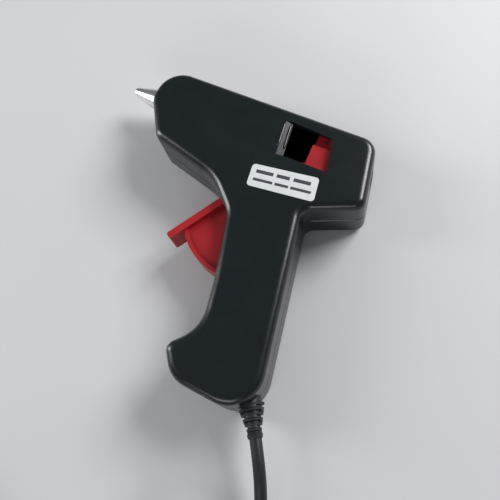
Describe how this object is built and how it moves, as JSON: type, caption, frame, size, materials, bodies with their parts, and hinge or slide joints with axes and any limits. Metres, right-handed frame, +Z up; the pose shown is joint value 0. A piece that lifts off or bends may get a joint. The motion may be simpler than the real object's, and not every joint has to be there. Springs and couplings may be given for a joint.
{
  "type": "mini glue gun",
  "caption": "Small mains glue gun with a pull trigger on a pivot, a sliding stick feed seen through a side window, a metal nozzle, a cord boot and a coiled cord with plug.",
  "frame": {"origin": "middle of the gun's underside as it lies on its right side, cord and plug not counted", "axes": "+X from the nozzle back along the stick axis, out of the stick inlet; +Y from the grip up to the barrel's top edge; +Z up, out of the left side"},
  "size_m": [0.164, 0.2519, 0.0271],
  "materials": {
    "shell": "moulded black, satin to semi-gloss",
    "nozzle_metal": "turned bright",
    "cast_alloy": "as cast, matt grey",
    "silicone": "matt red-brown silicone",
    "film": "thin amber film",
    "brass": "rolled sheet",
    "ceramic": "fired ceramic, matt",
    "spring_steel": "drawn wire and strip",
    "trigger_plastic": "moulded red, semi-gloss",
    "pin_steel": "ground steel",
    "carriage_plastic": "moulded red, semi-gloss",
    "screw_steel": "zinc plated",
    "label_paper": "printed film label with plain bars",
    "boot_rubber": "soft black",
    "clamp_plastic": "moulded",
    "cord_rubber": "matt black sheath",
    "core_cover": "insulated core",
    "crimp_cover": "closed-end cap",
    "lead_cover": "braided glass sleeve",
    "tie_plastic": "flat wire tie",
    "plug_plastic": "moulded",
    "pin_plate": "nickel plated"
  },
  "bodies": {
    "housing": {"left_shell": "shell", "right_shell": "shell", "nozzle": "nozzle_metal", "melt_chamber": "cast_alloy", "inlet_sleeve": "silicone", "insulation_film": "film", "electrode_upper": "brass", "heater_pill": "ceramic", "electrode_lower": "brass", "heater_clip": "spring_steel", "trigger_pivot_pin": "pin_steel", "return_spring": "spring_steel", "body_screws": "screw_steel", "clamp_screws": "screw_steel", "rating_label": "label_paper", "strain_relief": "boot_rubber", "cord_clamp": "clamp_plastic", "cord_inner_end": "cord_rubber", "cord_cores": "core_cover", "crimp_sleeves": "crimp_cover", "lead_wire_upper": "lead_cover", "lead_wire_lower": "lead_cover", "power_cord": "cord_rubber", "cord_coil": "cord_rubber", "coil_tie": "tie_plastic", "plug_body": "plug_plastic", "plug_pins": "pin_plate"},
    "trigger": {"trigger": "trigger_plastic"},
    "carriage": {"feed_carriage": "carriage_plastic", "gripper_pin": "pin_steel", "drive_pin": "pin_steel"},
    "gripper": {"gripper": "pin_steel"}
  },
  "joints": [
    {"name": "trigger_pull", "type": "hinge", "parent": "housing", "child": "trigger", "pos_m": [0.01949, 0.01575, 0.0135], "axis": [0, 0, 1], "range_deg": [0, 24], "stiffness_Nm_per_rad": 0.12, "springref_deg": -14.32, "deforming": ["return_spring"]},
    {"name": "carriage_slide", "type": "slide", "parent": "housing", "child": "carriage", "axis": [-1, 0, 0], "range_m": [0, 0.01116]},
    {"name": "gripper_tilt", "type": "hinge", "parent": "carriage", "child": "gripper", "pos_m": [0.03619, 0.06105, 0.0135], "axis": [0, 0, 1], "range_deg": [0, 8.2]}
  ],
  "couplings": [
    {"joint": "carriage_slide", "follows": "trigger_pull", "m_per_rad": 0.02659},
    {"joint": "gripper_tilt", "follows": "trigger_pull", "ratio": 0.3333}
  ]
}
